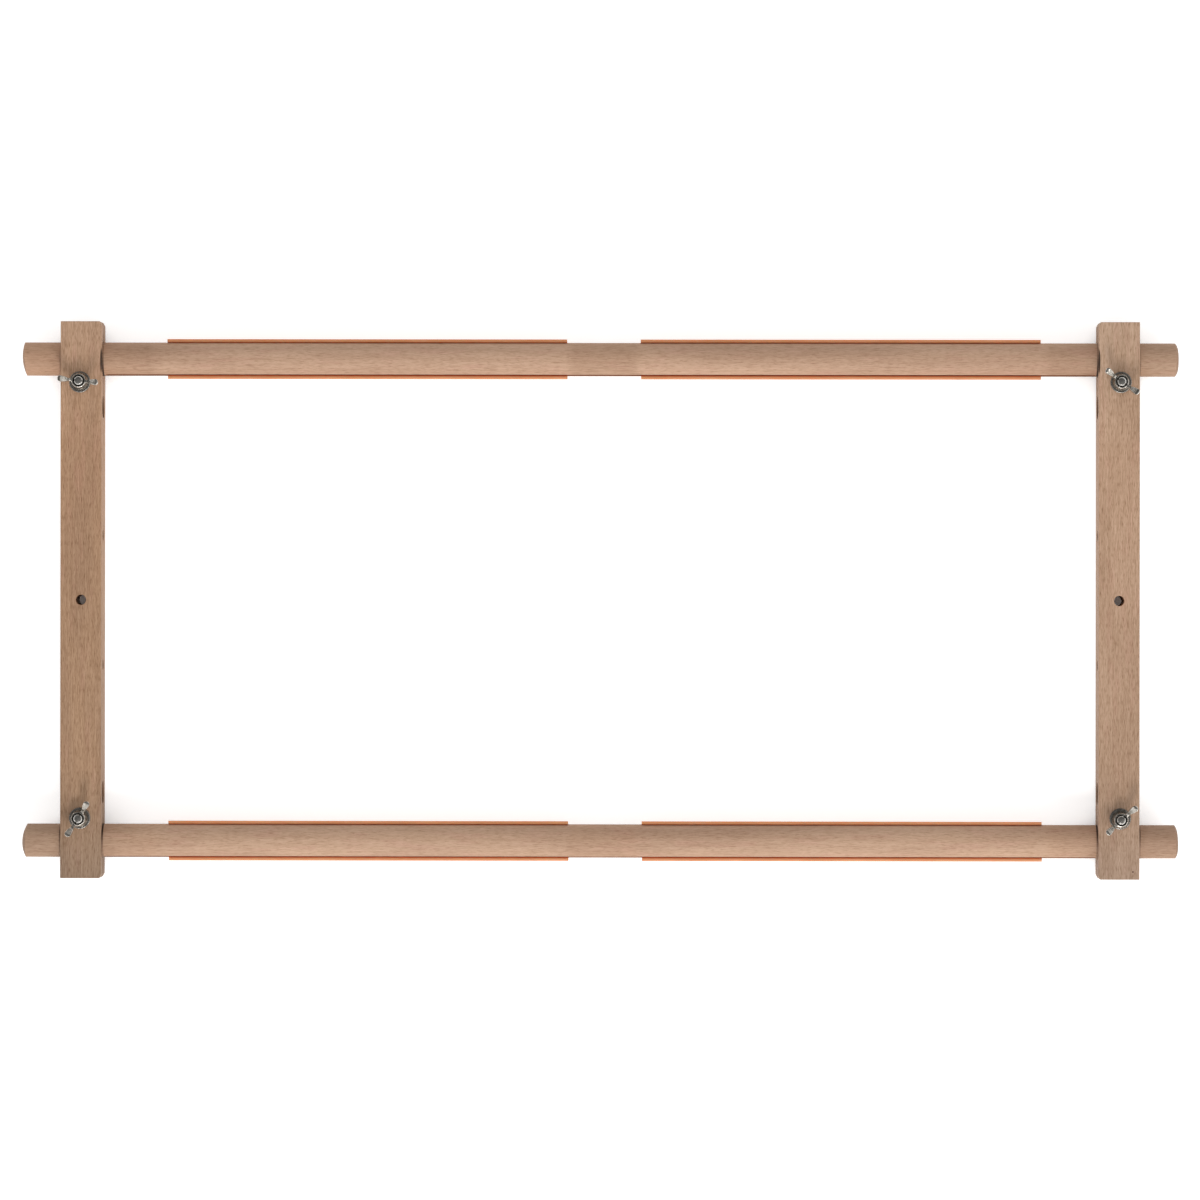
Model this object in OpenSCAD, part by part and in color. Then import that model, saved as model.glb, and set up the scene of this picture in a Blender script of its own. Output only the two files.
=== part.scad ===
// Rotating tapestry frame with two rollers, two side bars and four spring clips.
// It lies flat with its wing nuts up. X runs along the rollers, Y from the lower
// roller to the upper one, and Z up. The origin is below the middle of the
// working window, on the surface that the frame lies on.

/* [Side bars] */
// Length of each side bar
bar_len = 300; // [240:5:450]
// Width of each side bar, along the rollers
bar_w = 22; // [19:0.5:32]
// Thickness of each side bar, front to back
bar_t = 22; // [21:0.5:32]
// Bevel on the two inner end corners of each side bar
end_bevel = 2; // [0.5:0.25:4]
// From the end of a side bar to the axis of the roller near it
roller_inset = 20; // [14:0.5:32]

/* [Roller clamp in the bar ends] */
// Width of the saw cut that splits the end of the bar into two jaws
kerf_w = 1.6; // [0.8:0.2:3]
// Diameter of the relief hole where the saw cut ends
relief_d = 12; // [6:0.5:14]
// Wood left between the roller hole and the bolt hole
bolt_web = 0.5; // [0.4:0.1:4]
// Wood left between the bolt hole and the relief hole
relief_land = 5; // [2:0.25:12]
// How far the bolts sit outside the middle line of their bar
bolt_out = 0.7; // [0:0.1:2]
// Broken edge round the mouths of the roller holes
mouth_ease = 0.6; // [0.2:0.1:1]

/* [Stand holes] */
// Diameter of the hole through the middle of each bar, front to back
middle_hole_d = 5.5; // [4:0.25:8]
// Diameter of the two cross holes in each bar
side_hole_d = 5.5; // [4:0.25:8]
// Distance between the two cross holes
side_hole_pitch = 70; // [30:1:100]

/* [Rollers] */
// Length of each roller, from end to end
roller_len = 624; // [580:1:1000]
// Diameter of the rollers
roller_d = 18; // [14:0.5:18.5]
// How far a roller stands out past each side bar
roller_stub = 21.5; // [10:0.5:50]
// Height of the crown on the end of a roller
roller_crown = 1.4; // [0.5:0.1:3]
// Radial clearance of a roller in its hole
roller_fit = 0.1; // [0.05:0.01:0.3]
// Width of the lengthwise groove in a roller
groove_w = 3.6; // [3:0.1:4.5]
// Depth of the groove
groove_depth = 2; // [1.2:0.1:3]
// Where the groove stops short of the side bars
groove_stop = 4; // [2:0.5:20]

/* [Clips] */
// Length of each clip
clip_len = 216; // [60:1:220]
// Gap between the two clips on one roller
clip_gap = 39.5; // [10:0.5:60]
// How far the upper pair of clips sits to the right of the middle
upper_clip_shift = 2.1; // [-5:0.1:5]
// How far the lower pair of clips sits to the right of the middle
lower_clip_shift = 2.9; // [-5:0.1:5]
// Wall of the clips
clip_wall = 1.4; // [1:0.1:2]
// Clearance between a clip and its roller
clip_fit = 0.25; // [0.2:0.05:0.5]
// How far round past the widest line of the roller a clip reaches, in degrees
clip_wrap = 12; // [8:1:16]
// Length of the lead-in lip beyond the grip
lip_len = 2; // [1:0.1:3]
// Outward lean of the lead-in lip, in degrees
lip_lean = 8; // [2:1:15]
// How far the hook rib reaches into the groove
hook_depth = 0.5; // [0.2:0.1:1]
// Radius of the hook rib
hook_r = 0.7; // [0.5:0.05:0.9]

/* [Carriage bolts] */
// Thread diameter of the bolts
bolt_d = 4.9; // [3.9:0.1:5.9]
// Radial clearance of a bolt in its hole
bolt_fit = 0.2; // [0.1:0.05:0.5]
// Diameter of the domed head
head_d = 13; // [9:0.5:15]
// Height of the domed head
head_h = 2.8; // [2:0.1:4]
// Side of the square neck under the head
neck_w = 5; // [4:0.1:6]
// Length of the square neck
neck_len = 3; // [2:0.5:4]
// Clearance round the square neck
neck_fit = 0.05; // [0.03:0.01:0.2]
// How far the end of a bolt stands above its wing nut
bolt_tip = 0.8; // [0.2:0.1:5]
// Bevel on the end of a bolt
tip_bevel = 0.6; // [0.2:0.1:0.9]

/* [Washers] */
// Outer diameter of the washers
washer_d = 11.5; // [10.5:0.5:16]
// Thickness of the washers
washer_t = 1; // [0.5:0.1:2]

/* [Wing nuts] */
// Span over the two wings
wing_span = 22; // [18:0.5:30]
// Height of the wing tips above the washer
wing_h = 11; // [9:0.5:15]
// Thickness of a wing at its waist
wing_waist = 1.7; // [1.2:0.1:2.4]
// Thickness of the rounded wing tip
wing_tip_w = 3.4; // [2.4:0.1:4]
// Radius of the wing seen from the side
wing_ear_r = 3.2; // [2.6:0.1:4]
// Diameter of the hub at the washer
hub_base_d = 10.4; // [9.5:0.1:12]
// Diameter of the hub at the top
hub_top_d = 7.5; // [7:0.1:9]
// Height of the hub
hub_h = 6.2; // [5:0.1:8]
// Clearance of the thread, on the radius
thread_fit = 0.05; // [0.03:0.01:0.15]
// Width of the bevelled mouth round the thread
mouth_w = 0.45; // [0.2:0.05:0.7]
// Angle of the upper left wing nut
upper_left_turn = -6; // [-90:1:90]
// Angle of the upper right wing nut
upper_right_turn = -36; // [-90:1:90]
// Angle of the lower left wing nut
lower_left_turn = 58; // [-90:1:90]
// Angle of the lower right wing nut
lower_right_turn = 42; // [-90:1:90]

/* [Hidden] */
$fn = 96;
LEFT = -1;
RIGHT = 1;
UPPER = 1;
LOWER = -1;
// Each corner: name, side along X, row along Y, angle of its wing nut, shift of its clip
CORNERS = [
    ["upper_left", LEFT, UPPER, upper_left_turn, upper_clip_shift],
    ["upper_right", RIGHT, UPPER, upper_right_turn, upper_clip_shift],
    ["lower_left", LEFT, LOWER, lower_left_turn, lower_clip_shift],
    ["lower_right", RIGHT, LOWER, lower_right_turn, lower_clip_shift]
];

// Overshoot of a cut past the face that it opens
cut_over = 1;
// The rollers
roller_r = roller_d / 2;
crown_r = (pow(roller_r, 2) + pow(roller_crown, 2)) / (2 * roller_crown);
// Gap between the facing sides of the two side bars
bar_gap = roller_len - 2 * roller_stub - 2 * bar_w;
// Places in the frame
back_z = head_h;
front_z = back_z + bar_t;
axis_z = back_z + bar_t / 2;
axis_y = bar_len / 2 - roller_inset;
bar_x = bar_gap / 2 + bar_w / 2;
bolt_x = bar_x + bolt_out;
// The clamp, from the roller hole towards the middle of the bar
roller_hole_r = roller_r + roller_fit;
bolt_hole_r = bolt_d / 2 + bolt_fit;
bolt_y = axis_y - roller_hole_r - bolt_web - bolt_hole_r;
relief_y = bolt_y - bolt_hole_r - relief_land - relief_d / 2;
// The clip section
clip_in_r = roller_r + clip_fit;
clip_out_r = clip_in_r + clip_wall;
clip_mid_r = clip_in_r + clip_wall / 2;
hook_mid_r = roller_r - hook_depth + hook_r;
// The groove lies so that the hook rests just above its lower wall
groove_len = bar_gap - 2 * groove_stop;
groove_tilt = clip_wrap + asin((groove_w / 2 - hook_r - clip_fit) / roller_r);
// The nut
nut_z = front_z + washer_t;
bolt_end_z = nut_z + hub_h + bolt_tip;
thread_r = bolt_d / 2 + thread_fit;
wing_tip_r = wing_tip_w / 2;
ear_x = wing_span / 2 - wing_ear_r;
ear_z = wing_h - wing_ear_r;

// A slab of the given size with one corner at the origin's height, centred in X and Y
module slab(size) {
    translate([-size[0] / 2, -size[1] / 2, 0])
        cube(size);
}

// The plan of a side bar, with its inner side towards +X
module bar_plan() {
    w = bar_w / 2;
    h = bar_len / 2;
    b = end_bevel;
    polygon([[-w, -h], [w - b, -h], [w, b - h], [w, h - b], [w - b, h], [-w, h]]);
}

// The hole for a roller, with a broken edge at both mouths
module roller_hole() {
    rotate([0, 90, 0]) {
        cylinder(r = roller_hole_r, h = bar_w + 2 * cut_over, center = true);
        for (end = [-1, 1])
            translate([0, 0, end * bar_w / 2])
                mirror([0, 0, end < 0 ? 1 : 0])
                    translate([0, 0, -mouth_ease])
                        cylinder(r1 = roller_hole_r, r2 = roller_hole_r + 2 * mouth_ease,
                            h = 2 * mouth_ease);
    }
}

// Everything cut from the upper end of a bar, seen with its inner side towards +X
module clamp_cuts() {
    translate([0, axis_y, axis_z])
        roller_hole();
    translate([-bar_w / 2 - cut_over, relief_y, axis_z - kerf_w / 2])
        cube([bar_w + 2 * cut_over, bar_len / 2 - relief_y + cut_over, kerf_w]);
    translate([0, relief_y, axis_z])
        rotate([0, 90, 0])
            cylinder(d = relief_d, h = bar_w + 2 * cut_over, center = true);
    translate([-bolt_out, bolt_y, back_z - cut_over]) {
        cylinder(r = bolt_hole_r, h = bar_t + 2 * cut_over);
        slab([neck_w + 2 * neck_fit, neck_w + 2 * neck_fit, neck_len + neck_fit + cut_over]);
    }
}

// A side bar in its own place on the left; the right one is its mirror image
module side_bar(side) {
    color([0.68, 0.55, 0.44])
        mirror([side == RIGHT ? 1 : 0, 0, 0])
            translate([-bar_x, 0, 0])
                difference() {
                    translate([0, 0, back_z])
                        linear_extrude(bar_t)
                            bar_plan();
                    for (row = [UPPER, LOWER])
                        mirror([0, row == LOWER ? 1 : 0, 0])
                            clamp_cuts();
                    translate([0, 0, back_z - cut_over])
                        cylinder(d = middle_hole_d, h = bar_t + 2 * cut_over);
                    for (row = [UPPER, LOWER])
                        translate([0, row * side_hole_pitch / 2, axis_z])
                            rotate([0, 90, 0])
                                cylinder(d = side_hole_d, h = bar_w + 2 * cut_over, center = true);
                }
}

// Half of a roller, from its middle to its crowned end, along +Z
module half_roller() {
    straight = roller_len / 2 - roller_crown;
    cylinder(r = roller_r, h = straight);
    intersection() {
        translate([0, 0, straight - roller_crown])
            cylinder(r = roller_r, h = 3 * roller_crown);
        translate([0, 0, roller_len / 2 - crown_r])
            sphere(r = crown_r);
    }
}

// A milled slot along X in the -Y side of a roller, tilted towards the front
module groove() {
    half = groove_len / 2 - groove_w / 2;
    rotate([90 - groove_tilt, 0, 0])
        translate([0, 0, roller_r - groove_depth]) {
            translate([-half, -groove_w / 2, 0])
                cube([2 * half, groove_w, groove_depth + cut_over]);
            for (end = [-1, 1])
                translate([end * half, 0, 0])
                    cylinder(d = groove_w, h = groove_depth + cut_over);
        }
}

module roller(row) {
    color([0.74, 0.6, 0.48])
        translate([0, row * axis_y, axis_z])
            difference() {
                for (end = [-1, 1])
                    rotate([0, end * 90, 0])
                        half_roller();
                groove();
            }
}

// One lead-in lip, from the grip outwards, on the side of the section where X is positive
module lip() {
    rotate(clip_wrap)
        translate([clip_mid_r, 0])
            rotate(-clip_wrap - lip_lean) {
                translate([-clip_wall / 2, 0])
                    square([clip_wall, lip_len]);
                circle(d = clip_wall);
                translate([0, lip_len])
                    circle(d = clip_wall);
            }
}

// The section of a clip round a roller at the origin, open towards +Y
module clip_section() {
    reach = 2 * clip_out_r;
    difference() {
        circle(r = clip_out_r);
        circle(r = clip_in_r);
        polygon([[0, 0], [reach, reach * tan(clip_wrap)], [reach, reach], [-reach, reach],
            [-reach, reach * tan(clip_wrap)]]);
    }
    lip();
    mirror([1, 0])
        lip();
    rotate(180 - clip_wrap)
        translate([hook_mid_r, 0])
            circle(r = hook_r);
}

// A clip hugs the back of its roller, with the hook rib on the -Y side
module clip(side, row, shift) {
    color([0.85, 0.47, 0.2])
        translate([side * (clip_gap + clip_len) / 2 + shift, row * axis_y, axis_z])
            rotate([90, 0, 90])
                translate([0, 0, -clip_len / 2])
                    linear_extrude(clip_len)
                        clip_section();
}

// A carriage bolt: domed head on the back, square neck in the wood, bevelled end in front
module bolt(side, row) {
    dome_r = (pow(head_d / 2, 2) + pow(head_h, 2)) / (2 * head_h);
    color([0.66, 0.65, 0.63])
        translate([side * bolt_x, row * bolt_y, 0]) {
            intersection() {
                cylinder(d = head_d, h = head_h);
                translate([0, 0, dome_r])
                    sphere(r = dome_r);
            }
            translate([0, 0, head_h / 2])
                slab([neck_w, neck_w, neck_len + head_h / 2]);
            translate([0, 0, head_h])
                cylinder(d = bolt_d, h = bolt_end_z - head_h - tip_bevel);
            translate([0, 0, bolt_end_z - tip_bevel])
                cylinder(d1 = bolt_d, d2 = bolt_d - 2 * tip_bevel, h = tip_bevel);
        }
}

module washer(side, row) {
    color([0.45, 0.44, 0.43])
        translate([side * bolt_x, row * bolt_y, front_z])
            difference() {
                cylinder(d = washer_d, h = washer_t);
                translate([0, 0, -cut_over])
                    cylinder(r = bolt_hole_r, h = washer_t + 2 * cut_over);
            }
}

// The plan of both wings: a waist by the hub and a rounded tip at each end
module wing_plan() {
    tip_x = wing_span / 2 - wing_tip_r;
    for (end = [-1, 1])
        hull() {
            translate([end * tip_x, 0])
                circle(r = wing_tip_r, $fn = 32);
            translate([end * (tip_x - wing_tip_r), 0])
                circle(r = wing_tip_r, $fn = 32);
            translate([end * (hub_top_d / 2 + wing_tip_r / 2), 0])
                circle(d = wing_waist, $fn = 32);
        }
    square([wing_span - 4 * wing_tip_r, wing_waist], center = true);
}

// The side view of both wings: rounded ears that rise from the hub
module wing_side() {
    for (end = [-1, 1])
        hull() {
            translate([end * ear_x, ear_z])
                circle(r = wing_ear_r, $fn = 48);
            translate([end * hub_top_d / 4, hub_h / 2])
                circle(r = hub_h / 4, $fn = 32);
        }
}

module wing_nut(side, row, turn) {
    color([0.72, 0.71, 0.68])
        translate([side * bolt_x, row * bolt_y, nut_z])
            rotate([0, 0, turn])
                difference() {
                    union() {
                        cylinder(d1 = hub_base_d, d2 = hub_top_d, h = hub_h);
                        intersection() {
                            linear_extrude(wing_h)
                                wing_plan();
                            rotate([90, 0, 0])
                                translate([0, 0, -wing_tip_w])
                                    linear_extrude(2 * wing_tip_w)
                                        wing_side();
                        }
                    }
                    translate([0, 0, -cut_over])
                        cylinder(r = thread_r, h = wing_h + 2 * cut_over);
                    translate([0, 0, hub_h - mouth_w])
                        cylinder(r1 = thread_r, r2 = thread_r + 2 * mouth_w, h = 2 * mouth_w);
                }
}

side_bar(LEFT);  // left_side_bar
side_bar(RIGHT);  // right_side_bar
roller(UPPER);  // upper_roller
roller(LOWER);  // lower_roller
for (c = CORNERS) {
    clip(c[1], c[2], c[4]);
    bolt(c[1], c[2]);
    washer(c[1], c[2]);
    wing_nut(c[1], c[2], c[3]);
}
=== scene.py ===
"""Looks of the rotating tapestry frame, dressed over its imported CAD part.

Two turned beech rollers pass through the split ends of two square beech bars. Carriage bolts
with washers and cast wing nuts close the ends on the rollers, and orange plastic channels clip
over the rollers to hold the cloth. X runs along the rollers, Y from the lower roller to the
upper one, and Z towards the wing nuts. Lengths are metres.
"""

from __future__ import annotations

import logging
import math
from collections.abc import Iterable, Sequence
from dataclasses import dataclass
from enum import Enum

import bmesh
import bpy
from mathutils import Matrix, Vector

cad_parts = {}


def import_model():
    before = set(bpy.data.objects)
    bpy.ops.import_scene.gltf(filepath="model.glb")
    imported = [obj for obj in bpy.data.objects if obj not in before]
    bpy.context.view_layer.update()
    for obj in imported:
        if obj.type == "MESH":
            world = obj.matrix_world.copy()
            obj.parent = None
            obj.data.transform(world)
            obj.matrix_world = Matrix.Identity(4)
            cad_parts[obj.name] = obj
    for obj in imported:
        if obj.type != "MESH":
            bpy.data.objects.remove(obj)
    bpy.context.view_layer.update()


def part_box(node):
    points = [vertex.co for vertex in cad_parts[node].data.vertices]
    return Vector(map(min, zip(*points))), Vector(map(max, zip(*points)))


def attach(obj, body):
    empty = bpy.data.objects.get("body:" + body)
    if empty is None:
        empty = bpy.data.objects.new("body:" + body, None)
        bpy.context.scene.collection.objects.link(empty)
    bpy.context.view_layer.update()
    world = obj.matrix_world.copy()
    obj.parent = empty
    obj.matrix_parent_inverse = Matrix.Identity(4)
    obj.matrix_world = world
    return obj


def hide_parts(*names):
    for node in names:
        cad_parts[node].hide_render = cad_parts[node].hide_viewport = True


log = logging.getLogger("tapestry_frame")

Solid = bpy.types.Object
Mesh = bpy.types.Mesh
Material = bpy.types.Material
Node = bpy.types.Node
Socket = bpy.types.NodeSocket
Value = Socket | float | int | tuple
Colour = tuple[float, float, float, float]
Triple = tuple[float, float, float]
Point = tuple[float, float]

MM = 0.001
WELD = 1e-7
NO_FACE_IS_FLAT = 1.0
BAR_INNER = 268.5 * MM
BAR_OUTER = 290.5 * MM
BAR_TOP = 24.8 * MM
AXLE_Y = 130.0 * MM
AXLE_Z = 13.8 * MM


class Place(Enum):
    """A place on the frame, as the sign of one of its coordinates."""

    @property
    def word(self) -> str:
        """Its name, as the names of nodes and bodies write it."""
        return self.name.lower()


class Side(Place):
    """A side bar, as the sign of its X."""

    LEFT = -1
    RIGHT = 1


class Row(Place):
    """A roller, as the sign of its Y."""

    LOWER = -1
    UPPER = 1


class Grain(Enum):
    """The axis that a piece of wood was cut along."""

    ALONG_X = 0
    ALONG_Y = 1


class Carving(Enum):
    """How one solid works on another."""

    TAKE_OUT = "DIFFERENCE"
    KEEP_SHARED = "INTERSECT"
    ADD = "UNION"


# Mesh helpers


def linked(name: str, data: bpy.types.ID) -> Solid:
    """Puts a mesh, a lamp or a camera in the scene.

    Args:
        name: Name of the object.
        data: The mesh, lamp or camera.

    Returns:
        The object, at the origin.
    """
    obj = bpy.data.objects.new(name, data)
    bpy.context.scene.collection.objects.link(obj)
    return obj


def mesh_object(
    name: str,
    points: Iterable[Sequence[float]],
    faces: Sequence[Sequence[int]] = (),
    edges: Sequence[Sequence[int]] = (),
) -> Solid:
    """Makes an object from points with faces, turned outwards, or with loose edges.

    Args:
        name: Name of the object and its mesh.
        points: The vertices.
        faces: The faces, as vertex numbers.
        edges: The loose edges, as vertex numbers.

    Returns:
        The object, linked to the scene.
    """
    mesh = bpy.data.meshes.new(name)
    mesh.from_pydata([tuple(p) for p in points], list(edges), [tuple(f) for f in faces])
    if faces:
        face_outwards(mesh)
    return linked(name, mesh)


def face_outwards(mesh: Mesh, weld: float = 0.0) -> None:
    """Merges doubles and turns every face outwards.

    Args:
        mesh: The mesh to put right.
        weld: Distance under which two vertices become one, or 0 for none.
    """
    bm = bmesh.new()
    bm.from_mesh(mesh)
    if weld:
        bmesh.ops.remove_doubles(bm, verts=bm.verts, dist=weld)
    bmesh.ops.recalc_face_normals(bm, faces=bm.faces)
    bm.to_mesh(mesh)
    bm.free()


def lathe(name: str, profile: Sequence[Point], steps: int = 96, ring: bool = False) -> Solid:
    """Turns a profile about Z into a closed solid.

    Args:
        name: Name of the object.
        profile: (radius, height) points. It starts and ends on the axis, or closes on itself.
        steps: Number of facets round the axis.
        ring: True for a profile that closes on itself.

    Returns:
        The turned object.
    """
    turns = [(math.cos(math.tau * i / steps), math.sin(math.tau * i / steps)) for i in range(steps)]
    points: list[Sequence[float]] = []
    rows: list[list[int]] = []
    for radius, height in profile:
        if radius < WELD:
            rows.append([len(points)] * steps)
            points.append((0.0, 0.0, height))
        else:
            rows.append(list(range(len(points), len(points) + steps)))
            points.extend((radius * c, radius * s, height) for c, s in turns)
    faces = []
    for low, high in zip(rows, rows[1:] + (rows[:1] if ring else [])):
        for i in range(steps):
            j = (i + 1) % steps
            corners = list(dict.fromkeys((low[i], low[j], high[j], high[i])))
            if len(corners) > 2:
                faces.append(corners)
    return mesh_object(name, points, faces)


def prism(name: str, outline: Sequence[Point], low: float, high: float) -> Solid:
    """Extrudes an outline along Z.

    Args:
        name: Name of the object.
        outline: (x, y) points of the closed outline.
        low: Height of its lower face.
        high: Height of its upper face.

    Returns:
        The extruded object.
    """
    n = len(outline)
    points = [(x, y, low) for x, y in outline] + [(x, y, high) for x, y in outline]
    faces = [list(range(n)), list(range(n, 2 * n))]
    faces += [[i, (i + 1) % n, n + (i + 1) % n, n + i] for i in range(n)]
    return mesh_object(name, points, faces)


def slab(name: str, low: Sequence[float], high: Sequence[float]) -> Solid:
    """Makes a box between two corners, used only as a cutting tool or a core."""
    (x0, y0, z0), (x1, y1, z1) = low, high
    return prism(name, [(x0, y0), (x1, y0), (x1, y1), (x0, y1)], z0, z1)


def arc(centre: Point, radius: float, start: float, end: float, steps: int) -> list[Point]:
    """Points along an arc.

    Args:
        centre: Centre of the arc.
        radius: Radius of the arc.
        start: First angle in degrees.
        end: Last angle in degrees.
        steps: Number of points, both ends among them.

    Returns:
        The points in order.
    """
    angles = (math.radians(start + (end - start) * i / (steps - 1)) for i in range(steps))
    return [(centre[0] + radius * math.cos(a), centre[1] + radius * math.sin(a)) for a in angles]


def place(obj: Solid, matrix: Matrix) -> Solid:
    """Moves the mesh itself, so that the object stays at the origin.

    Args:
        obj: The object.
        matrix: The move.

    Returns:
        The same object.
    """
    obj.data.transform(matrix)
    if matrix.determinant() < 0:
        obj.data.flip_normals()
    return obj


def settle(obj: Solid) -> None:
    """Makes the result of an object's modifiers its own plain mesh.

    Args:
        obj: The object, which loses its modifiers.
    """
    graph = bpy.context.evaluated_depsgraph_get()
    made = bpy.data.meshes.new_from_object(obj.evaluated_get(graph), depsgraph=graph)
    obj.modifiers.clear()
    obj.data = made
    obj.data.name = obj.name


def carve(obj: Solid, tools: Iterable[Solid], how: Carving = Carving.TAKE_OUT) -> None:
    """Works tools into an object one after the other, then throws the tools away.

    Args:
        obj: The solid that is worked.
        tools: Closed solids to cut with or to add.
        how: Whether the tools cut, trim or add.
    """
    tools = list(tools)
    for tool in tools:
        step = obj.modifiers.new("carve", "BOOLEAN")
        step.operation = how.value
        step.solver = "EXACT"
        step.object = tool
    settle(obj)
    for tool in tools:
        bpy.data.objects.remove(tool)


def merge_into(obj: Solid, others: Iterable[Solid]) -> None:
    """Adds the meshes of other objects to an object's own mesh.

    Args:
        obj: The object that grows.
        others: The objects that it takes in, which are removed.
    """
    bm = bmesh.new()
    bm.from_mesh(obj.data)
    for other in others:
        bm.from_mesh(other.data)
        bpy.data.objects.remove(other)
    bm.to_mesh(obj.data)
    bm.free()


def ease_edges(obj: Solid, width: float, segments: int = 3) -> None:
    """Rounds every edge of a plain block.

    Args:
        obj: The block.
        width: How far the rounding reaches from the edge.
        segments: Facets across each rounding.
    """
    bm = bmesh.new()
    bm.from_mesh(obj.data)
    bmesh.ops.bevel(bm, geom=list(bm.edges), offset=width, segments=segments, profile=0.5, affect="EDGES")
    bm.to_mesh(obj.data)
    bm.free()


def shade(mesh: Mesh, sharp: float = 35.0, flat_over: float = NO_FACE_IS_FLAT) -> None:
    """Shades curved parts smooth and keeps big flat faces and hard edges crisp.

    Args:
        mesh: The mesh to shade.
        sharp: Angle in degrees over which an edge stays hard.
        flat_over: Area in square metres over which a face is shaded flat.
    """
    mesh.shade_smooth()
    mesh.set_sharp_from_angle(angle=math.radians(sharp))
    for polygon in mesh.polygons:
        if polygon.area > flat_over:
            polygon.use_smooth = False


def hole_tool(name: str, radius: float, depth: float, ease: float, steps: int = 64) -> Solid:
    """A cutter along Z for a through hole whose two mouths are rounded over.

    Args:
        name: Name of the cutter.
        radius: Radius of the hole.
        depth: Thickness that it goes through.
        ease: Radius of the rounded mouth.
        steps: Facets round the hole.

    Returns:
        The cutter, centred on the origin.
    """
    half = depth / 2
    curve = ((0.0, -1.0), (0.13, -0.5), (0.5, -0.13), (1.6, 0.6))
    mouth = [(radius + r * ease, half + z * ease) for r, z in curve] + [(0.0, half + 0.6 * ease)]
    return lathe(name, [(r, -z) for r, z in reversed(mouth)] + mouth, steps)


def node_middle(node: str) -> Vector:
    """The middle of a CAD node's box."""
    low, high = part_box(node)
    return (low + high) / 2


def dressed(obj: Solid, body: str, node: str, material: Material | None = None) -> None:
    """Hands a finished piece over to the frame.

    Args:
        obj: The finished piece.
        body: The CAD body that it rides on.
        node: The CAD node that it stands for.
        material: Its material, where it has none yet.
    """
    if material is not None:
        obj.data.materials.clear()
        obj.data.materials.append(material)
    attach(obj, body)
    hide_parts(node)
    faces = sum(len(p.vertices) - 2 for p in obj.data.polygons)
    log.info("%s: %d triangles, on body %s for node %s", obj.name, faces, body, node)


# Node trees


class NodeBench:
    """Adds nodes to one tree and wires them up."""

    def __init__(self, tree: bpy.types.NodeTree, family: str) -> None:
        """Takes over a tree and the family name that its own nodes' types start with."""
        self.tree, self.family = tree, family

    def add(self, kind: str, sockets: dict[str | int, Value] | None = None, **settings: object) -> Node:
        """Adds a node.

        Args:
            kind: Its type, without the family name of the tree's own nodes.
            sockets: Value or source of its inputs, by name or number.
            **settings: Its other properties.

        Returns:
            The node.
        """
        node = self.tree.nodes.new(kind if kind.startswith("ShaderNode") else self.family + kind)
        for key, value in settings.items():
            setattr(node, key, value)
        for label, value in (sockets or {}).items():
            if isinstance(value, Socket):
                self.tree.links.new(value, node.inputs[label])
            else:
                node.inputs[label].default_value = value
        return node

    def wire(self, kind: str, sockets: dict[str | int, Value] | None = None, **settings: object) -> Socket:
        """Adds a node in the same way, and gives its first output."""
        return self.add(kind, sockets, **settings).outputs[0]


class GeometryTree(NodeBench):
    """One Geometry Nodes tree with named inputs."""

    def __init__(self, name: str, inputs: dict[str, str]) -> None:
        """Starts a tree.

        Args:
            name: Name of the tree.
            inputs: Name and kind of each input after the geometry, such as Float.
        """
        super().__init__(bpy.data.node_groups.new(name, "GeometryNodeTree"), "GeometryNode")
        face = self.tree.interface
        face.new_socket("Geometry", in_out="INPUT", socket_type="NodeSocketGeometry")
        self.keys = {}
        for label, kind in inputs.items():
            socket = face.new_socket(label, in_out="INPUT", socket_type="NodeSocket" + kind)
            self.keys[label] = socket.identifier
        face.new_socket("Geometry", in_out="OUTPUT", socket_type="NodeSocketGeometry")
        self.source = self.tree.nodes.new("NodeGroupInput")

    def given(self, label: str) -> Socket:
        """The tree's own input of that name, as a source for its nodes."""
        return self.source.outputs[label]

    def sweep(self, line: Socket, section: Socket, scale: Value = 1.0) -> Socket:
        """A closed body with one section all along a line.

        Args:
            line: The line.
            section: The section.
            scale: Its scale at each point of the line.

        Returns:
            The body.
        """
        sockets = {"Curve": line, "Profile Curve": section, "Scale": scale, "Fill Caps": True}
        return self.wire("CurveToMesh", sockets)

    def close(self, geometry: Socket) -> None:
        """Ends the tree in real, smooth geometry with the material from its Finish input.

        Args:
            geometry: What the tree has made.
        """
        real = self.wire("RealizeInstances", {"Geometry": geometry})
        smooth = self.wire("SetShadeSmooth", {"Geometry": real})
        painted = self.wire("SetMaterial", {"Geometry": smooth, "Material": self.given("Finish")})
        out = self.tree.nodes.new("NodeGroupOutput")
        self.tree.links.new(painted, out.inputs[0])

    def run(self, obj: Solid, values: dict[str, object]) -> None:
        """Runs the tree on an object and keeps the result as its plain mesh.

        Args:
            obj: The object that carries the tree's starting geometry.
            values: A value for each named input.
        """
        modifier = obj.modifiers.new(self.tree.name, "NODES")
        modifier.node_group = self.tree
        for label, value in values.items():
            modifier[self.keys[label]] = value
        settle(obj)
        face_outwards(obj.data, weld=WELD)


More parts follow.
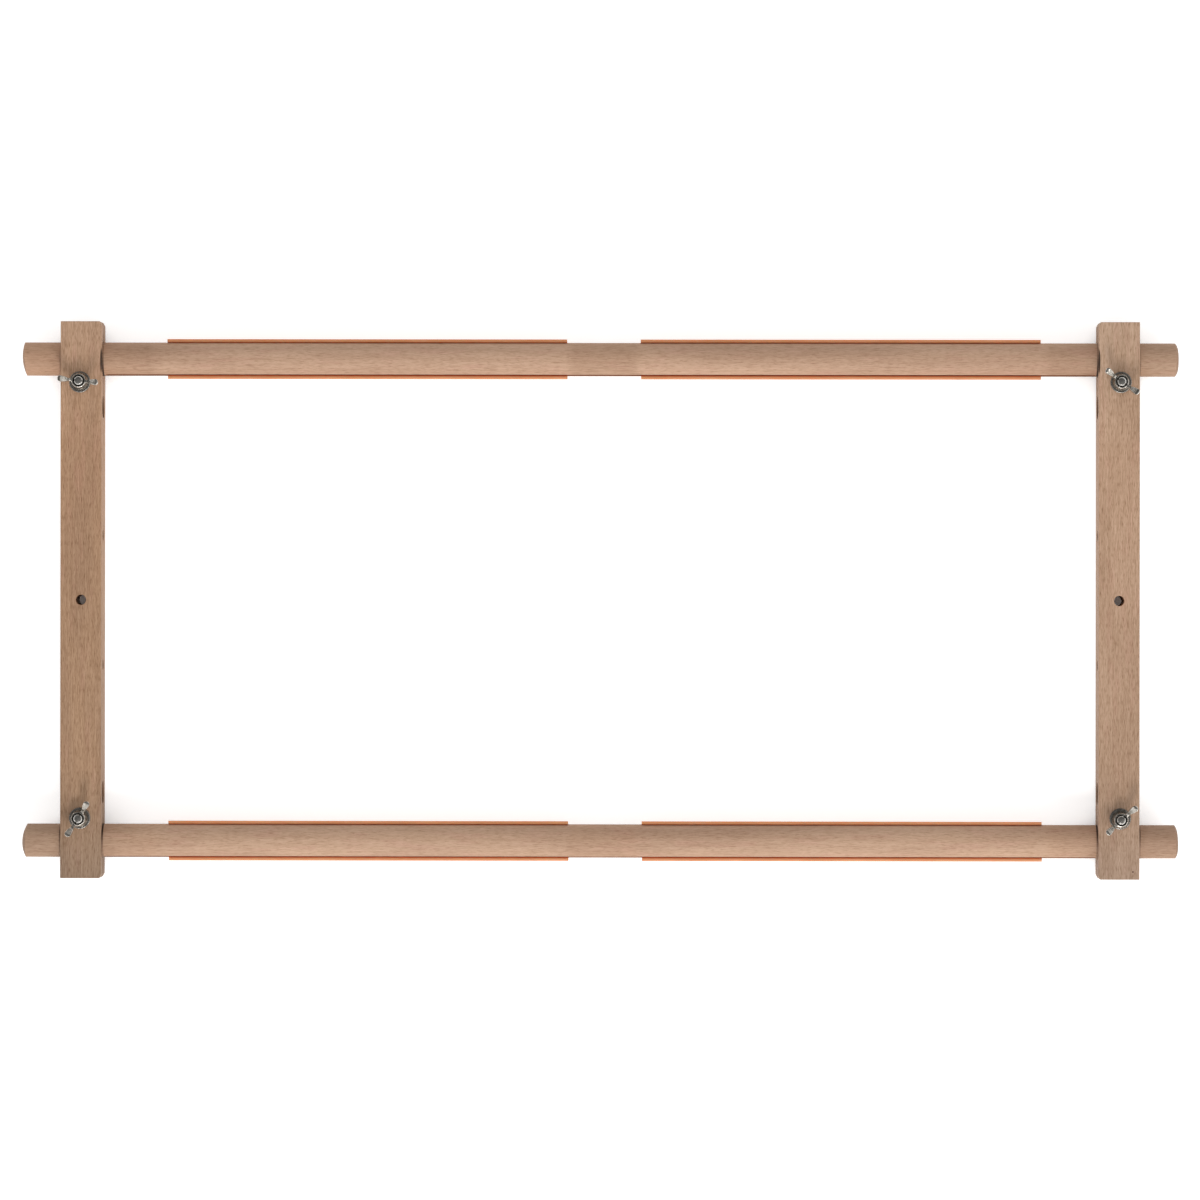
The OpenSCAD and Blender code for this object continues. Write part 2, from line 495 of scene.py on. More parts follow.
class ShaderDesk(NodeBench):
    """Builds the nodes of one material or of the world."""

    def __init__(self, owner: Material | bpy.types.World) -> None:
        """Clears the nodes of a material or a world.

        Args:
            owner: The material or world.
        """
        owner.use_nodes = True
        super().__init__(owner.node_tree, "ShaderNode")
        self.owner = owner
        self.tree.nodes.clear()
        self.where = self.add("TexCoord")

    @property
    def here(self) -> Socket:
        """Object coordinates."""
        return self.where.outputs["Object"]

    def close(self, kind: str, surface: Socket) -> Material | bpy.types.World:
        """Ends the tree in an output node of that kind and returns what it belongs to."""
        self.add(kind, {"Surface": surface})
        return self.owner

    def dress(self, sockets: dict[str | int, Value]) -> Material:
        """Covers the surface with one Principled shader and returns the material."""
        return self.close("OutputMaterial", self.wire("BsdfPrincipled", sockets))

    def point(self, scale: Triple = (1, 1, 1), offset: Triple = (0, 0, 0)) -> Socket:
        """Object coordinates, stretched and then shifted."""
        return self.wire("Mapping", {"Vector": self.here, "Scale": scale, "Location": offset})

    def noise(
        self,
        scale: Triple,
        offset: Triple = (0, 0, 0),
        detail: float = 2.0,
        rough: float = 0.5,
        output: int = 0,
    ) -> Socket:
        """Noise in object coordinates.

        Args:
            scale: Cells per metre on each axis.
            offset: Shift after the stretch.
            detail: Number of finer layers.
            rough: Weight of the finer layers.
            output: 0 for a value around 0.5, or 1 for a colour.

        Returns:
            The value or the colour.
        """
        sockets = {"Vector": self.point(scale, offset), "Scale": 1.0, "Detail": detail, "Roughness": rough}
        return self.add("TexNoise", sockets).outputs[output]

    def span(
        self,
        value: Value,
        low: float,
        high: float,
        to_low: float = 0.0,
        to_high: float = 1.0,
        soft: bool = True,
    ) -> Socket:
        """Maps a value from one range to another, clamped.

        Args:
            value: The value.
            low: Start of its range.
            high: End of its range.
            to_low: Result at the start.
            to_high: Result at the end.
            soft: Eases in and out where True.

        Returns:
            The mapped value.
        """
        sockets = {"Value": value, "From Min": low, "From Max": high, "To Min": to_low, "To Max": to_high}
        return self.wire("MapRange", sockets, interpolation_type="SMOOTHSTEP" if soft else "LINEAR")

    def maths(self, how: str, a: Value, b: Value = 0.0, c: Value = 0.0) -> Socket:
        """One arithmetic step on one, two or three values."""
        return self.wire("Math", {0: a, 1: b, 2: c}, operation=how)

    def vector(self, how: str, a: Value, b: Value = (0, 0, 0), c: Value = (0, 0, 0)) -> Socket:
        """One step on one, two or three vectors, which gives a vector or, for some steps, a value."""
        node = self.add("VectorMath", {0: a, 1: b, 2: c}, operation=how)
        return node.outputs["Value" if how in ("DISTANCE", "LENGTH", "DOT_PRODUCT") else "Vector"]

    def part(self, vector: Socket, axis: int) -> Socket:
        """One coordinate of a vector: 0 for X, 1 for Y, 2 for Z."""
        return self.add("SeparateXYZ", {0: vector}).outputs[axis]

    def off_axis(self, vector: Socket, y: float, z: float) -> Socket:
        """Distance of a vector from the line along X at y and z."""
        return self.vector("DISTANCE", self.vector("MULTIPLY", vector, (0, 1, 1)), (0, y, z))

    def blend(self, share: Value, a: Value, b: Value, how: str = "MIX") -> Socket:
        """Mixes two colours by the share of the second one."""
        return self.add("Mix", {0: share, 6: a, 7: b}, data_type="RGBA", blend_type=how).outputs[2]

    def between(self, share: Value, a: Value, b: Value) -> Socket:
        """A value between two others, by the share of the second one."""
        return self.wire("Mix", {0: share, 2: a, 3: b})

    def choose(self, share: Value, a: Socket, b: Socket) -> Socket:
        """Mixes two shaders by the share of the second one."""
        return self.wire("MixShader", {0: share, 1: a, 2: b})

    def bump(self, height: Socket, strength: float, distance: float) -> Socket:
        """A normal bent by a height of about 0 to 1, to a depth in metres."""
        return self.wire("Bump", {"Height": height, "Strength": strength, "Distance": distance})

    def seen(self, glossy: bool = True) -> Socket:
        """A value of 1 for rays that show the background.

        Args:
            glossy: Whether mirror rays are among them.

        Returns:
            The value.
        """
        path = self.add("LightPath").outputs
        share = self.maths("MAXIMUM", path["Is Camera Ray"], path["Is Transmission Ray"])
        return self.maths("MAXIMUM", share, path["Is Glossy Ray"]) if glossy else share


# Finishes


class Layer(Enum):
    """A layer of the wood's figure.

    Each has its cells per metre across and along the grain, its number of finer layers, their
    weight, and whether the wood's seed is read forwards or backwards.
    """

    BROAD = (55, 9, 2, 0.5, 1)
    PATCHES = (210, 42, 2, 0.6, -1)
    STREAKS = (2600, 78, 3, 0.68, 1)
    BANDS = (430, 9, 2, 0.6, -1)
    HAIRS = (3300, 150, 2, 0.6, -1)
    FLECKS = (3600, 290, 1, 0.5, 1)
    PORES = (5200, 700, 1, 0.5, 1)


@dataclass(frozen=True)
class Knot:
    """A small dark speck in the wood: its place and radius."""

    place: Triple
    radius: float


@dataclass(frozen=True)
class Bore:
    """A round hole or slot along X, painted darker inside as shade: its centre in Y and Z and its radius."""

    y: float
    z: float
    radius: float


@dataclass(frozen=True)
class BeechFinish:
    """Bare sanded beech: rings, rays, fine flecks and pinkish patches along the grain."""

    name: str
    grain: Grain
    pale: Colour
    deep: Colour
    pink: Colour
    seed: Triple
    pith: Triple
    # Painted light and shade along the piece: tones at places along its grain
    painted_light: tuple[tuple[float, Colour], ...]
    fineness: float = 1.0
    streaks: float = 0.85
    bands: float = 0.035
    flecks: float = 0.26
    pink_share: float = 0.4
    green_warmth: float = 1.22
    blue_warmth: float = 1.5
    ring_wobble: float = 6 * MM
    rings_per_metre: float = 130.0
    knots: tuple[Knot, ...] = ()
    bores: tuple[Bore, ...] = ()
    groove: Bore | None = None
    groove_half: float = 267.7 * MM
    # Painted shade where a roller enters each bar: places along X with strengths, and the sign of the
    # roller's Y
    burnish: tuple[tuple[float, float], ...] = ()
    burnish_side: float = 0.0
    # Painted shade on a bar's front inner edge beside the roller: its centre and size
    rub: Triple | None = None
    rub_size: Triple = (0.8 * MM, 7.5 * MM, 2.5 * MM)
    # Colours of the marks: a real knot, then painted shade, with router burn in the groove
    knot_stain: Colour = (0.09, 0.04, 0.02, 1)
    # Painted shade in the holes
    bore_shade_colour: Colour = (0.1, 0.045, 0.022, 1)
    groove_burn_and_shade: Colour = (0.3, 0.105, 0.045, 1)
    burnish_stain: Colour = (0.03, 0.014, 0.008, 1)
    rub_stain: Colour = (0.03, 0.015, 0.009, 1)

    def squeeze(self, across: float, along: float) -> Triple:
        """Scale per metre across and along the grain, in the order of the axes."""
        return (along, across, across) if self.grain is Grain.ALONG_X else (across, along, across)

    def layer(self, desk: ShaderDesk, layer: Layer) -> Socket:
        """The noise of one layer of the figure.

        Args:
            desk: The material's desk.
            layer: The layer.

        Returns:
            A value around 0.5.
        """
        across, along, detail, rough, order = layer.value
        if layer in (Layer.STREAKS, Layer.HAIRS):
            across *= self.fineness
        return desk.noise(self.squeeze(across, along), self.seed[::order], detail, rough)

    def material(self) -> Material:
        """Builds the wood.

        Returns:
            The material.
        """
        desk = ShaderDesk(bpy.data.materials.new(self.name))
        broad, patches, streaks, bands, hairs, flecks, pores = (self.layer(desk, layer) for layer in Layer)
        tone = desk.blend(desk.span(broad, 0.36, 0.64), self.pale, self.deep)
        tone = desk.blend(desk.span(patches, 0.5, 0.72, 0.0, self.pink_share), tone, self.pink)
        light = desk.maths("MULTIPLY_ADD", streaks, self.streaks, 1.0 - 0.5 * self.streaks)
        for dim in (
            desk.span(bands, 0.3, 0.7, 1 - self.bands, 1 + self.bands, soft=False),
            desk.span(hairs, 0.52, 0.66, 1.02, 0.8),
            desk.span(self.rings(desk), 0.0, 1.0, 0.975, 1.02, soft=False),
            desk.span(flecks, 0.54, 0.66, 1.02, 1.0 - self.flecks),
            desk.span(pores, 0.6, 0.72, 1.0, 0.93),
            self.end_grain(desk, pores),
        ):
            light = desk.maths("MULTIPLY", light, dim)
        green, blue = (desk.maths("POWER", light, power) for power in (self.green_warmth, self.blue_warmth))
        warm = desk.wire("CombineColor", {"Red": light, "Green": green, "Blue": blue})
        colour = desk.blend(1.0, tone, warm, "MULTIPLY")
        # Painted light and shade along the piece
        colour = desk.blend(1.0, colour, self.painted_light_tone(desk), "MULTIPLY")
        # Real knots, and painted shade at holes, groove, roller entries and bar edges
        for share, mark_tone in self.marks(desk):
            colour = desk.blend(share, colour, mark_tone)
        height = desk.maths("SUBTRACT", streaks, desk.maths("MULTIPLY", flecks, 0.7))
        return desk.dress(
            {
                "Base Color": colour,
                "Roughness": desk.span(streaks, 0.3, 0.7, 0.68, 0.56),
                "Specular IOR Level": 0.28,
                "Normal": desk.bump(height, 0.35, 0.12 * MM),
            }
        )

    def rings(self, desk: ShaderDesk) -> Socket:
        """Growth rings about a pith line beside the piece.

        Args:
            desk: The material's desk.

        Returns:
            A value that rises and falls from ring to ring.
        """
        wobble = desk.noise(self.squeeze(60, 6), self.seed, output=1)
        bent = desk.vector("MULTIPLY_ADD", wobble, (self.ring_wobble,) * 3, desk.point(offset=self.pith))
        node = desk.add(
            "TexWave",
            {"Vector": bent, "Scale": self.rings_per_metre, "Distortion": 0.0, "Detail": 0.0},
            wave_type="RINGS",
            rings_direction="X" if self.grain is Grain.ALONG_X else "Y",
        )
        return node.outputs[1]

    def painted_light_tone(self, desk: ShaderDesk) -> Socket:
        """Painted light and shade: the piece lighter towards one end and darker towards the other, as the
        lamps fall on it.

        Args:
            desk: The material's desk.

        Returns:
            A colour to multiply by.
        """
        start, end = self.painted_light[0][0], self.painted_light[-1][0]
        along = desk.part(desk.here, self.grain.value)
        node = desk.add("ValToRGB", {0: desk.span(along, start, end, soft=False)})
        stops = node.color_ramp.elements
        while len(stops) < len(self.painted_light):
            stops.new(0.5)
        for stop, (spot, tint) in zip(stops, self.painted_light):
            stop.position = (spot - start) / (end - start)
            stop.color = tint
        return node.outputs[0]

    def end_grain(self, desk: ShaderDesk, pores: Socket) -> Socket:
        """Darkens faces cut across the grain, more in the pores.

        Args:
            desk: The material's desk.
            pores: The layer of pores.

        Returns:
            A value to multiply by.
        """
        facing = desk.maths("ABSOLUTE", desk.part(desk.where.outputs["Normal"], self.grain.value))
        return desk.between(desk.span(facing, 0.62, 0.92), 1.0, desk.span(pores, 0.4, 0.6, 0.86, 0.72))

    def marks(self, desk: ShaderDesk) -> Iterable[tuple[Socket, Colour]]:
        """The dark marks on the wood, one over the other: real knots, and painted shade in the holes, in the
        groove with router burn, where a roller enters a bar and on the bar's edge beside it.

        Args:
            desk: The material's desk.

        Yields:
            The share and the colour of each.
        """
        for knot in self.knots:
            away = desk.vector("DISTANCE", desk.here, knot.place)
            yield desk.span(away, 0.4 * knot.radius, knot.radius, 0.85, 0.0), self.knot_stain
        # Painted shade in each hole and its mouth
        for bore in self.bores:
            away = desk.off_axis(desk.here, bore.y, bore.z)
            yield desk.span(away, bore.radius + 0.1 * MM, bore.radius + 0.5 * MM, 0.6, 0.0), self.bore_shade_colour
        # Router burn and painted shade in the roller's groove
        if self.groove:
            away = desk.off_axis(desk.here, self.groove.y, self.groove.z)
            inside = desk.span(away, self.groove.radius, self.groove.radius + 0.12 * MM, 0.75, 0.0)
            long_way = desk.maths("ABSOLUTE", desk.part(desk.here, 0))
            within = desk.maths("LESS_THAN", long_way, self.groove_half)
            yield desk.maths("MULTIPLY", inside, within), self.groove_burn_and_shade
        # Painted shade where the roller enters each bar
        if self.burnish:
            yield self.entry_shaded(desk), self.burnish_stain
        # Painted shade on the bar's front inner edge beside the roller
        if self.rub:
            shifted = desk.vector("SUBTRACT", desk.here, self.rub)
            scaled = desk.vector("MULTIPLY", shifted, tuple(1 / size for size in self.rub_size))
            yield desk.span(desk.vector("LENGTH", scaled), 0.7, 1.0, 0.95, 0.0), self.rub_stain

    def entry_shaded(self, desk: ShaderDesk) -> Socket:
        """Painted shade in the gaps where a roller runs into the bars, fading to about a third on the
        roller's outer side.

        Args:
            desk: The material's desk.

        Returns:
            Their share.
        """
        along = desk.maths("ABSOLUTE", desk.part(desk.here, 0))
        share: Value = 0.0
        for middle, strength in self.burnish:
            away = desk.maths("ABSOLUTE", desk.maths("SUBTRACT", along, middle))
            share = desk.maths("MAXIMUM", share, desk.span(away, 0.4 * MM, 0.8 * MM, strength, 0.0))
        outward = desk.maths("MULTIPLY", desk.part(desk.here, 1), self.burnish_side)
        return desk.maths("MULTIPLY", share, desk.span(outward, 123 * MM, 136 * MM, 1.0, 0.35))


@dataclass(frozen=True)
class PlasticFinish:
    """Orange extruded plastic with faint die lines along X, and painted shade, a deeper red, where it hugs a
    roller.
    """

    name: str = "orange_clip_plastic"
    light: Colour = (0.76, 0.35, 0.17, 1)
    deep: Colour = (0.7, 0.295, 0.13, 1)
    shaded: Colour = (0.74, 0.17, 0.065, 1)
    hug_end: float = 9.25 * MM
    light_start: float = 9.7 * MM

    def material(self) -> Material:
        """Builds the plastic.

        Returns:
            The material.
        """
        desk = ShaderDesk(bpy.data.materials.new(self.name))
        lines = desk.noise((9, 1700, 1700), (3, 1, 7))
        cloud = desk.noise((60, 160, 160), (1, 5, 2), detail=3)
        mixed = desk.maths("MULTIPLY_ADD", lines, 0.35, desk.maths("MULTIPLY", cloud, 0.65))
        colour = desk.blend(desk.span(mixed, 0.35, 0.65), self.light, self.deep)
        # Painted shade: deeper red plastic in the hollow where it hugs the roller
        away = desk.off_axis(desk.vector("ABSOLUTE", desk.here), AXLE_Y, AXLE_Z)
        colour = desk.blend(desk.span(away, self.hug_end, self.light_start, 1.0, 0.0), colour, self.shaded)
        return desk.dress(
            {
                "Base Color": colour,
                "Roughness": desk.span(cloud, 0.3, 0.7, 0.4, 0.52),
                "Specular IOR Level": 0.35,
                "IOR": 1.49,
                "Subsurface Weight": 0.35,
                "Subsurface Radius": (1.0, 0.38, 0.16),
                "Subsurface Scale": 1.8 * MM,
                "Normal": desk.bump(lines, 0.25, 0.03 * MM),
            }
        )


@dataclass(frozen=True)
class MetalFinish:
    """A metal with its tarnish, grain and roughness."""

    name: str
    bright: Colour
    dull: Colour
    rough: tuple[float, float]
    grain: float
    depth: float
    tarnish: float = 700.0

    def material(self) -> Material:
        """Builds the metal.

        Returns:
            The material.
        """
        desk = ShaderDesk(bpy.data.materials.new(self.name))
        grit = desk.noise((self.grain,) * 3, detail=3, rough=0.65)
        lumps = desk.noise((self.tarnish,) * 3, (2, 4, 9), rough=0.6)
        height = desk.maths("MULTIPLY_ADD", lumps, 1.6, grit)
        return desk.dress(
            {
                "Base Color": desk.blend(desk.span(lumps, 0.35, 0.65), self.bright, self.dull),
                "Metallic": 1.0,
                "Roughness": desk.span(grit, 0.3, 0.7, *self.rough),
                "Normal": desk.bump(height, 0.6, self.depth),
            }
        )


# No change of tone in the painted light along a roller, just outside each clip
UNCHANGED_TONE = (1.0, 1.0, 1.0, 1)
BAR_HOLES = ((AXLE_Y, 9.1 * MM), (104.1 * MM, 6.0 * MM), (35.0 * MM, 2.75 * MM))
BAR_BORES = tuple(Bore(way * y, AXLE_Z, radius) for way in (1, -1) for y, radius in BAR_HOLES)
CLIP_ENDS = (-0.243, -0.236, -0.018, -0.014, 0.018, 0.022, 0.238, 0.244)


def roller_painted_light(first: Colour, last: Colour, clip_stretch: Colour) -> tuple[tuple[float, Colour], ...]:
    """Painted light and shade along a roller: its two ends get their own tones, and the stretch between the
    ends of each clip a paler one.

    Args:
        first: Tone of the left end.
        last: Tone of the right end.
        clip_stretch: Tone between the ends of each clip.

    Returns:
        Each tone after its place along the roller.
    """
    return ((-0.3, first), *zip(CLIP_ENDS, (UNCHANGED_TONE, clip_stretch, clip_stretch, UNCHANGED_TONE) * 2), (0.3, last))


LEFT_BAR_BEECH = BeechFinish(
    "left_bar_beech",
    Grain.ALONG_Y,
    pale=(0.48, 0.29, 0.172, 1),
    deep=(0.412, 0.247, 0.149, 1),
    pink=(0.49, 0.274, 0.18, 1),
    seed=(3.1, 7.7, 1.9),
    pith=(0.04, 0.0, 0.055),
    # Painted light and shade: darker at the lower end, lighter at the upper end, greyer at both
    painted_light=(
        (-0.15, (0.72, 0.79, 0.88, 1)),
        (-0.09, (0.93, 0.94, 0.95, 1)),
        (0.0, (0.97, 0.97, 0.97, 1)),
        (0.08, (1.03, 1.01, 1.0, 1)),
        (0.15, (1.16, 1.21, 1.32, 1)),
    ),
    # Painted shade in the holes, and on the inner edge beside the upper roller
    bores=BAR_BORES,
    rub=(-BAR_INNER, 129.0 * MM, BAR_TOP),
)
RIGHT_BAR_BEECH = BeechFinish(
    "right_bar_beech",
    Grain.ALONG_Y,
    pale=(0.535, 0.347, 0.232, 1),
    deep=(0.469, 0.297, 0.193, 1),
    pink=(0.525, 0.31, 0.215, 1),
    seed=(8.4, 2.3, 5.6),
    pith=(-0.05, 0.0, 0.04),
    # Painted light and shade: darker at the lower end, a little lighter at the upper end
    painted_light=(
        (-0.15, (0.86, 0.91, 0.98, 1)),
        (-0.09, (0.97, 0.98, 0.99, 1)),
        (0.08, (1.04, 1.03, 1.02, 1)),
        (0.15, (1.04, 1.08, 1.11, 1)),
    ),
    knots=(Knot((287.0 * MM, -145.8 * MM, BAR_TOP), 0.7 * MM),),
    # Painted shade in the holes, and on the inner edge beside the upper roller
    bores=BAR_BORES,
    rub=(BAR_INNER, 129.0 * MM, BAR_TOP),
)
ROLLER_FIGURE = {"fineness": 1.35, "streaks": 0.38, "bands": 0.01, "flecks": 0.19}
UPPER_ROLLER_BEECH = BeechFinish(
    "upper_roller_beech",
    Grain.ALONG_X,
    pale=(0.515, 0.322, 0.213, 1),
    deep=(0.455, 0.277, 0.181, 1),
    pink=(0.51, 0.284, 0.199, 1),
    seed=(5.2, 1.4, 6.3),
    pith=(0.0, -0.1, 0.02),
    # Painted light and shade along the roller
    painted_light=roller_painted_light((1.1, 1.08, 1.06, 1), (0.93, 0.96, 0.97, 1), clip_stretch=(1.14, 1.17, 1.2, 1)),
    # Router burn and painted shade in the groove
    groove=Bore(AXLE_Y, AXLE_Z, 8.72 * MM),
    # Painted shade where the roller enters the bars
    burnish=((BAR_INNER - 0.3 * MM, 0.97), (BAR_OUTER + 0.2 * MM, 0.4)),
    burnish_side=1.0,
    **ROLLER_FIGURE,
)
LOWER_ROLLER_BEECH = BeechFinish(
    "lower_roller_beech",
    Grain.ALONG_X,
    pale=(0.55, 0.35, 0.232, 1),
    deep=(0.483, 0.299, 0.197, 1),
    pink=(0.54, 0.306, 0.216, 1),
    seed=(1.7, 9.5, 3.8),
    pith=(0.0, 0.16, 0.03),
    # Painted light and shade along the roller
    painted_light=roller_painted_light((0.8, 0.82, 0.83, 1), (0.86, 0.87, 0.88, 1), clip_stretch=(1.03, 1.05, 1.07, 1)),
    # Router burn and painted shade in the groove
    groove=Bore(-AXLE_Y, AXLE_Z, 8.72 * MM),
    # Painted shade where the roller enters the bars
    burnish=((BAR_INNER - 0.3 * MM, 0.97), (BAR_OUTER + 0.3 * MM, 0.75)),
    burnish_side=-1.0,
    **ROLLER_FIGURE,
)
BOLT_ZINC = MetalFinish(
    "bolt_zinc", (0.62, 0.6, 0.56, 1), (0.42, 0.4, 0.37, 1),
    rough=(0.16, 0.3), grain=2600.0, depth=0.04 * MM,
)
WASHER_ZINC = MetalFinish(
    "washer_dull_zinc", (0.42, 0.395, 0.36, 1), (0.26, 0.24, 0.215, 1),
    rough=(0.22, 0.4), grain=2000.0, depth=0.1 * MM,
)
NUT_CASTING = MetalFinish(
    "nut_nickel_casting", (0.66, 0.62, 0.56, 1), (0.36, 0.335, 0.295, 1),
    rough=(0.16, 0.34), grain=1000.0, depth=0.22 * MM, tarnish=480.0,
)
# Painted shade: near-black metal in the nut's bore and its bevelled mouth
NUT_BORE_SHADE = MetalFinish(
    "nut_bore_painted_shade", (0.035, 0.032, 0.028, 1), (0.02, 0.018, 0.016, 1),
    rough=(0.4, 0.6), grain=2600.0, depth=0.03 * MM,
)


# Pieces


@dataclass
class SideBar:
    """A square beech bar: split clamp ends, stand holes and eased edges."""

    side: Side
    finish: BeechFinish
    corner_cut: float = 1.0 * MM
    corner_drop: float = 1.9 * MM
    ease: float = 0.22 * MM
    flat_over: float = 12e-6
    roller_hole: float = 9.1 * MM
    roller_mouth: float = 0.6 * MM
    saw_cut: float = 1.6 * MM
    saw_overrun: float = 2.0 * MM
    relief: float = 6.0 * MM
    relief_y: float = 104.1 * MM
    bolt_hole: float = 2.65 * MM
    bolt_mouth: float = 0.15 * MM
    neck_recess: float = 5.1 * MM
    neck_depth: float = 3.05 * MM
    stand_hole: float = 2.75 * MM
    cross_pitch: float = 70.0 * MM
    mouth: float = 0.3 * MM

    def build(self) -> None:
        """Makes the bar and hands it to its body."""
        node = f"{self.side.word}_side_bar"
        low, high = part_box(node)
        inward = -self.side.value
        inner, outer = (high.x, low.x) if inward > 0 else (low.x, high.x)
        step = inward * self.corner_cut
        outline = [(outer, low.y), (inner - step, low.y), (inner, low.y + self.corner_drop)]
        outline += [(inner, high.y - self.corner_drop), (inner - step, high.y), (outer, high.y)]
        bar = prism(f"{self.side.word}_bar_wood", outline, low.z, high.z)
        ease_edges(bar, self.ease)
        carve(bar, self.tools((low + high) / 2, high - low))
        face_outwards(bar.data, weld=WELD)
        shade(bar.data, flat_over=self.flat_over)
        dressed(bar, f"{self.side.word}_bar", node, self.finish.material())

    def tools(self, middle: Vector, size: Vector) -> list[Solid]:
        """Everything that is sawn and drilled out of the bar.

        Args:
            middle: Middle of the bar.
            size: Size of the bar.

        Returns:
            The cutters.
        """
        across = Matrix.Rotation(math.pi / 2, 4, "Y")
        cut, neck = self.saw_cut / 2, self.neck_recess / 2
        tool = hole_tool("middle_hole", self.stand_hole, size.z, self.mouth)
        made = [place(tool, Matrix.Translation(middle))]
        for row in Row:
            sign = row.value
            axle = node_middle(f"{row.word}_roller")
            bolt = node_middle(f"{row.word}_{self.side.word}_bolt")
            for name, radius, mouth, steps, y in (
                ("roller_hole", self.roller_hole, self.roller_mouth, 128, axle.y),
                ("relief_hole", self.relief, self.mouth, 96, sign * self.relief_y),
                ("cross_hole", self.stand_hole, self.mouth, 64, sign * self.cross_pitch / 2),
            ):
                tool = hole_tool(name, radius, size.x, mouth, steps)
                made.append(place(tool, Matrix.Translation((middle.x, y, middle.z)) @ across))
            tool = hole_tool("bolt_hole", self.bolt_hole, size.z, self.bolt_mouth)
            made.append(place(tool, Matrix.Translation((bolt.x, bolt.y, middle.z))))
            start, end = sorted((sign * self.relief_y, sign * (size.y / 2 + self.saw_overrun)))
            low = (middle.x - size.x, start, axle.z - cut)
            made.append(slab("saw_cut", low, (middle.x + size.x, end, axle.z + cut)))
            low = (bolt.x - neck, bolt.y - neck, middle.z - size.z)
            high = (bolt.x + neck, bolt.y + neck, middle.z - size.z / 2 + self.neck_depth)
            made.append(slab("neck_recess", low, high))
        return made


@dataclass(frozen=True)
class TurnedEnd:
    """How one end of a roller is rounded: how deep, how square, and how far it leans."""

    depth: float
    squareness: float
    lean: float


@dataclass
class Roller:
    """A turned beech roller with a stopped groove for the clips' hook."""

    row: Row
    finish: BeechFinish
    left: TurnedEnd
    right: TurnedEnd
    radius: float = 9.0 * MM
    facets: int = 128
    end_steps: int = 22
    first_share: float = 0.03
    groove_half: float = 267.6 * MM
    groove_width: float = 3.6 * MM
    groove_depth: float = 2.0 * MM
    groove_tilt: float = 11.0

    def build(self, tree: GeometryTree) -> None:
        """Turns the roller, mills its groove and hands it to its body.

        Args:
            tree: The turning tree.
        """
        node = f"{self.row.word}_roller"
        low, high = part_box(node)
        centre = (low + high) / 2
        roller = self.blank(f"{node}_wood", low.x, high.x)
        tree.run(roller, {"Facets": self.facets, "Finish": self.finish.material()})
        self.lean_ends(roller.data, low.x, high.x)
        carve(roller, [self.groove_tool()])
        face_outwards(roller.data, weld=WELD)
        place(roller, Matrix.Translation((0, centre.y, centre.z)))
        shade(roller.data, 30.0)
        dressed(roller, node, node)

    def blank(self, name: str, start: float, end: float) -> Solid:
        """The line of stations that the turning tree gives its thickness.

        Args:
            name: Name of the object.
            start: X of the left end.
            end: X of the right end.

        Returns:
            A line of edges with a turned_radius at each point.
        """
        stations: list[Point] = []
        for shape, tip, way in ((self.left, start, 1), (self.right, end, -1)):
            part = []
            for i in range(self.end_steps + 1):
                share = math.sin(math.pi / 2 * i / self.end_steps) if i else self.first_share
                part.append((tip + way * shape.depth * share**shape.squareness, self.radius * share))
            stations += part if way > 0 else part[::-1]
        edges = [(i, i + 1) for i in range(len(stations) - 1)]
        obj = mesh_object(name, [(x, 0, 0) for x, _ in stations], edges=edges)
        radii = obj.data.attributes.new("turned_radius", "FLOAT", "POINT")
        radii.data.foreach_set("value", [r for _, r in stations])
        return obj

    def lean_ends(self, mesh: Mesh, start: float, end: float) -> None:
        """Tips the end faces a little, as hand sanding does, without making the roller longer.

        Args:
            mesh: The turned roller.
            start: X of the left end.
            end: X of the right end.
        """
        for vertex in mesh.vertices:
            shape, tip, way = (self.left, start, 1) if vertex.co.x < 0 else (self.right, end, -1)
            depth = abs(vertex.co.x - tip)
            if depth <= shape.depth * 1.001:
                push = shape.lean * vertex.co.y / self.radius
                vertex.co.x = tip + way * max(0.0, depth + push + abs(shape.lean) * 0.1)

    def groove_tool(self) -> Solid:
        """The milled slot with its round ends, turned to the side where the hook sits.

        Returns:
            The cutter.
        """
        round_end = self.groove_width / 2
        half = self.groove_half - round_end
        outline = arc((half, 0), round_end, -90, 90, 17) + arc((-half, 0), round_end, 90, 270, 17)
        tool = prism("groove", outline, self.radius - self.groove_depth, self.radius + 2 * MM)
        return place(tool, Matrix.Rotation(math.radians(90 - self.groove_tilt), 4, "X"))


def turning_tree() -> GeometryTree:
    """The tree that gives a line of stations its round, turned body.

    Returns:
        The tree.
    """
    made = GeometryTree("turned_body", {"Facets": "Int", "Finish": "Material"})
    line = made.wire("MeshToCurve", {"Mesh": made.given("Geometry")})
    shape = {"Resolution": made.given("Facets"), "Radius": 1.0}
    circle = made.wire("CurvePrimitiveCircle", shape, mode="RADIUS")
    radius = made.wire("InputNamedAttribute", {"Name": "turned_radius"}, data_type="FLOAT")
    made.close(made.sweep(line, circle, radius))
    return made


